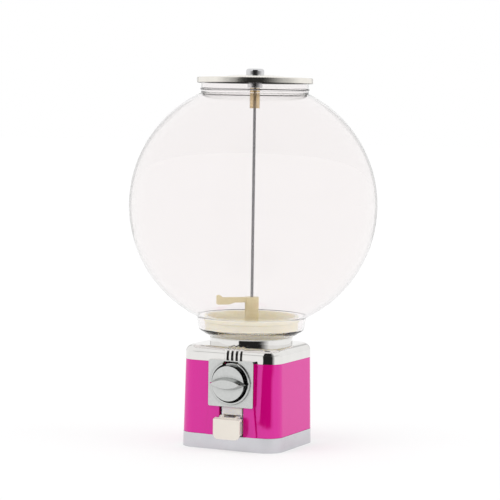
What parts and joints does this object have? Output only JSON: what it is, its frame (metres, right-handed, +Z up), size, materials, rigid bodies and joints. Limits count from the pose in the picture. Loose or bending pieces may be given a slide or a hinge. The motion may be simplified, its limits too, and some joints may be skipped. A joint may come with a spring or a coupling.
{
  "type": "gumball machine",
  "caption": "Coin-operated gumball machine: clear globe on a square cabinet with a lockable lid, a coin handle that turns a pocketed wheel, and a flap over the chute.",
  "frame": {"origin": "on the floor under the centre rod's axis", "axes": "+Z up, -Y to the front, +X to the right seen from the front"},
  "size_m": [0.4063, 0.4064, 0.6139],
  "materials": {
    "chrome": "polished",
    "magenta_paint": "gloss",
    "cream_plastic": "satin moulded",
    "clear_nylon": "translucent",
    "clear_globe": "clear, polished",
    "rubber": "matt",
    "steel": "bright zinc plate",
    "die_cast": "tumbled die-casting",
    "brass": "turned"
  },
  "bodies": {
    "cabinet": {"base_pan": "chrome", "body_shell": "magenta_paint", "center_rod": "steel", "chute": "cream_plastic", "flap_pin": "steel", "globe": "clear_globe", "globe_gasket": "rubber", "hopper": "cream_plastic", "housing_screws": "steel", "mech_back_plate": "die_cast", "mech_housing": "die_cast", "mech_plate": "die_cast", "pawl_pin": "steel", "pawl_spring": "steel", "rod_nut": "steel", "rod_sleeve": "clear_nylon", "shaft_bushing": "brass", "stripper_shield": "cream_plastic", "top_cover": "chrome", "wheel_housing": "die_cast"},
    "turner": {"handle": "die_cast", "dial": "die_cast", "drive_shaft": "steel", "coin_wheel": "die_cast", "ratchet_wheel": "steel", "drive_pinion": "steel", "retaining_collar": "steel"},
    "wheel": {"product_wheel": "cream_plastic", "agitator": "cream_plastic"},
    "flap": {"chute_flap": "cream_plastic"},
    "lid": {"lid": "chrome", "lid_gasket": "rubber", "lock_housing": "chrome", "lock_nut": "steel"},
    "plug": {"lock_plug": "brass"},
    "pawl": {"ratchet_pawl": "steel"}
  },
  "joints": [
    {"name": "handle_turn", "type": "hinge", "parent": "cabinet", "child": "turner", "pos_m": [0.01, -0.08, 0.11], "axis": [0, 1, 0], "continuous": true},
    {"name": "wheel_turn", "type": "hinge", "parent": "cabinet", "child": "wheel", "pos_m": [0, 0, 0.13], "axis": [0, 0, 1], "continuous": true},
    {"name": "pawl_drop", "type": "hinge", "parent": "cabinet", "child": "pawl", "pos_m": [0.00353, -0.08, 0.13415], "axis": [0, 1, 0], "range_deg": [0, 8]},
    {"name": "flap_swing", "type": "hinge", "parent": "cabinet", "child": "flap", "pos_m": [0.01, -0.095, 0.054], "axis": [-1, 0, 0], "range_deg": [0, 70]},
    {"name": "lid_lift", "type": "slide", "parent": "cabinet", "child": "lid", "axis": [0, 0, 1], "range_m": [0, 0.08]},
    {"name": "lock_turn", "type": "hinge", "parent": "lid", "child": "plug", "pos_m": [0, 0, 0.61], "axis": [0, 0, 1], "range_deg": [0, 90]}
  ],
  "couplings": [
    {"joint": "wheel_turn", "follows": "handle_turn", "ratio": 0.16667}
  ]
}
